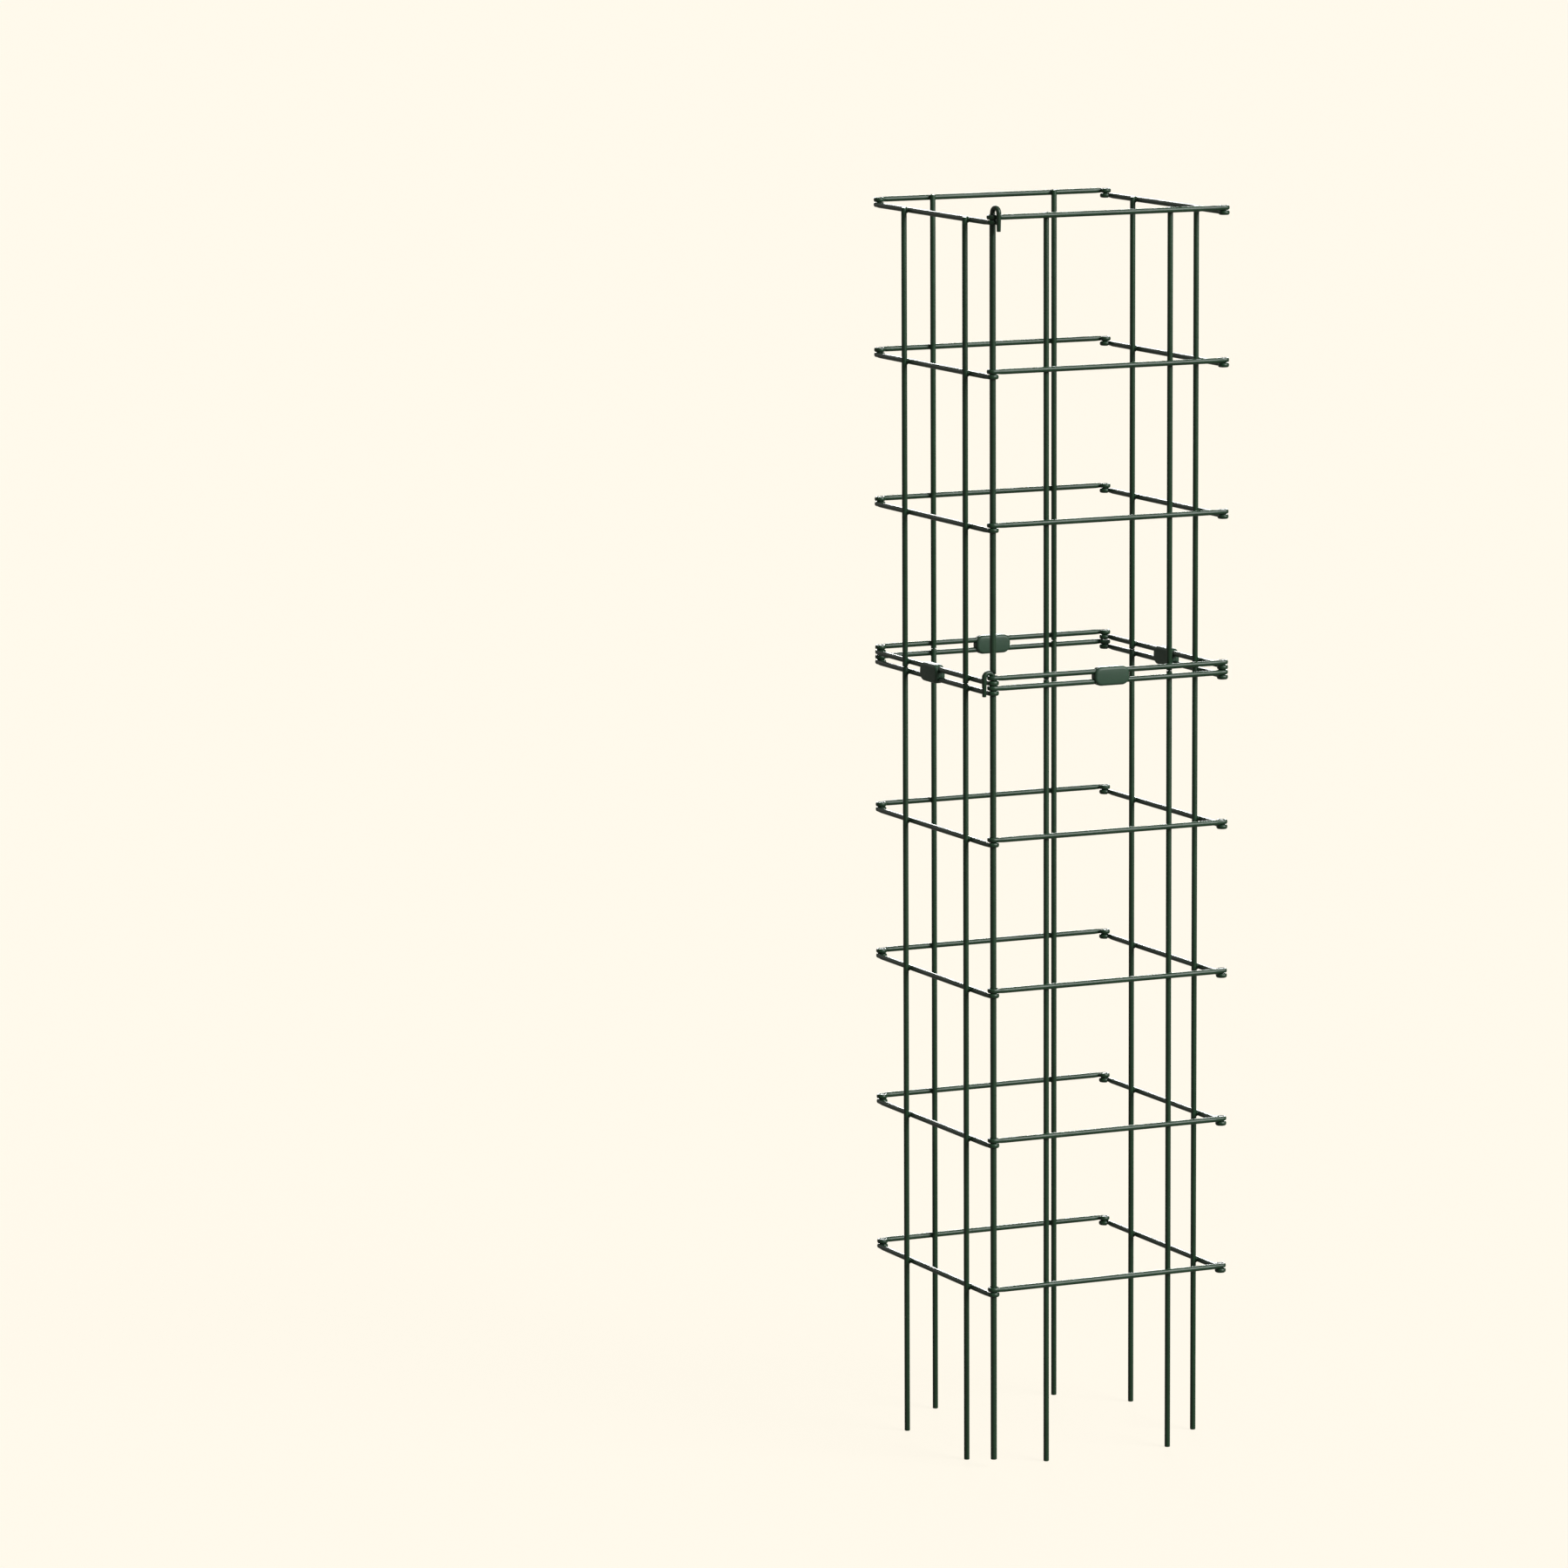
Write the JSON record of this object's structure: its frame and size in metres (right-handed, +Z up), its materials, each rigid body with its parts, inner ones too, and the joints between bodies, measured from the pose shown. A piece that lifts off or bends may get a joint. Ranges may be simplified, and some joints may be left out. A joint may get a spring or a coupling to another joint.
{
  "type": "tomato cage",
  "caption": "Tall square wire plant support of two stacked panel sections, hinged at the corners, closed by crooked corner pins and joined by snap clips, standing on straight legs.",
  "frame": {"origin": "ground level under the leg tips, at the middle of the overall footprint; the middle of the wire square is about 1.5 mm to +X and +Y of it", "axes": "+Z up along the stays, -Y to the front panel, -X to the left panel with its stays outside, the pin corner at front left"},
  "size_m": [0.3308, 0.3306, 1.5057],
  "materials": {
    "coated_wire": "semi-gloss dark green plastic coating on steel wire",
    "coated_pin": "semi-gloss dark green plastic coating on steel rod",
    "plated_rivet": "dull plated steel",
    "clip_plastic": "matt moulded green plastic"
  },
  "bodies": {
    "front_panel": {"upper_front_rails": "coated_wire", "upper_front_stays": "coated_wire", "lower_front_rails": "coated_wire", "lower_front_stays": "coated_wire", "upper_front_right_rivets": "plated_rivet", "lower_front_right_rivets": "plated_rivet"},
    "right_panel": {"upper_right_rails": "coated_wire", "upper_right_stays": "coated_wire", "lower_right_rails": "coated_wire", "lower_right_stays": "coated_wire", "upper_back_right_rivets": "plated_rivet", "lower_back_right_rivets": "plated_rivet"},
    "back_panel": {"upper_back_rails": "coated_wire", "upper_back_stays": "coated_wire", "lower_back_rails": "coated_wire", "lower_back_stays": "coated_wire", "upper_back_left_rivets": "plated_rivet", "lower_back_left_rivets": "plated_rivet"},
    "left_panel": {"upper_left_rails": "coated_wire", "upper_left_stays": "coated_wire", "lower_left_rails": "coated_wire", "lower_left_stays": "coated_wire"},
    "lower_pin": {"lower_pin": "coated_pin"},
    "upper_pin": {"upper_pin": "coated_pin"},
    "front_clip_outer": {"front_clip_outer": "clip_plastic"},
    "front_clip_inner": {"front_clip_inner": "clip_plastic"},
    "right_clip_outer": {"right_clip_outer": "clip_plastic"},
    "right_clip_inner": {"right_clip_inner": "clip_plastic"},
    "back_clip_outer": {"back_clip_outer": "clip_plastic"},
    "back_clip_inner": {"back_clip_inner": "clip_plastic"},
    "left_clip_outer": {"left_clip_outer": "clip_plastic"},
    "left_clip_inner": {"left_clip_inner": "clip_plastic"}
  },
  "joints": [
    {"name": "fold_front_right", "type": "hinge", "parent": "front_panel", "child": "right_panel", "pos_m": [0.1541, -0.1509, 0.95055], "axis": [0, 0, 1], "range_deg": [-75, 15]},
    {"name": "fold_back_right", "type": "hinge", "parent": "right_panel", "child": "back_panel", "pos_m": [0.1541, 0.1541, 0.95055], "axis": [0, 0, 1], "range_deg": [-15, 75]},
    {"name": "fold_front_left", "type": "hinge", "parent": "front_panel", "child": "left_panel", "pos_m": [-0.1509, -0.1509, 0.95055], "axis": [0, 0, 1], "range_deg": [-75, 15]},
    {"name": "lower_pin_slide", "type": "slide", "parent": "front_panel", "child": "lower_pin", "axis": [0, 0, 1], "range_m": [0, 0.15]},
    {"name": "upper_pin_slide", "type": "slide", "parent": "lower_pin", "child": "upper_pin", "axis": [0, 0, 1], "range_m": [0, 0.55]},
    {"name": "front_clip_outer_snap", "type": "slide", "parent": "front_panel", "child": "front_clip_outer", "axis": [0, -1, 0], "range_m": [0, 0.01]},
    {"name": "front_clip_inner_snap", "type": "slide", "parent": "front_panel", "child": "front_clip_inner", "axis": [0, 1, 0], "range_m": [0, 0.01]},
    {"name": "right_clip_outer_snap", "type": "slide", "parent": "right_panel", "child": "right_clip_outer", "axis": [1, 0, 0], "range_m": [0, 0.01]},
    {"name": "right_clip_inner_snap", "type": "slide", "parent": "right_panel", "child": "right_clip_inner", "axis": [-1, 0, 0], "range_m": [0, 0.01]},
    {"name": "back_clip_outer_snap", "type": "slide", "parent": "back_panel", "child": "back_clip_outer", "axis": [0, 1, 0], "range_m": [0, 0.01]},
    {"name": "back_clip_inner_snap", "type": "slide", "parent": "back_panel", "child": "back_clip_inner", "axis": [0, -1, 0], "range_m": [0, 0.01]},
    {"name": "left_clip_outer_snap", "type": "slide", "parent": "left_panel", "child": "left_clip_outer", "axis": [-1, 0, 0], "range_m": [0, 0.01]},
    {"name": "left_clip_inner_snap", "type": "slide", "parent": "left_panel", "child": "left_clip_inner", "axis": [1, 0, 0], "range_m": [0, 0.01]}
  ],
  "couplings": [
    {"joint": "fold_back_right", "follows": "fold_front_right", "ratio": -1},
    {"joint": "fold_front_left", "follows": "fold_front_right", "ratio": 1}
  ]
}
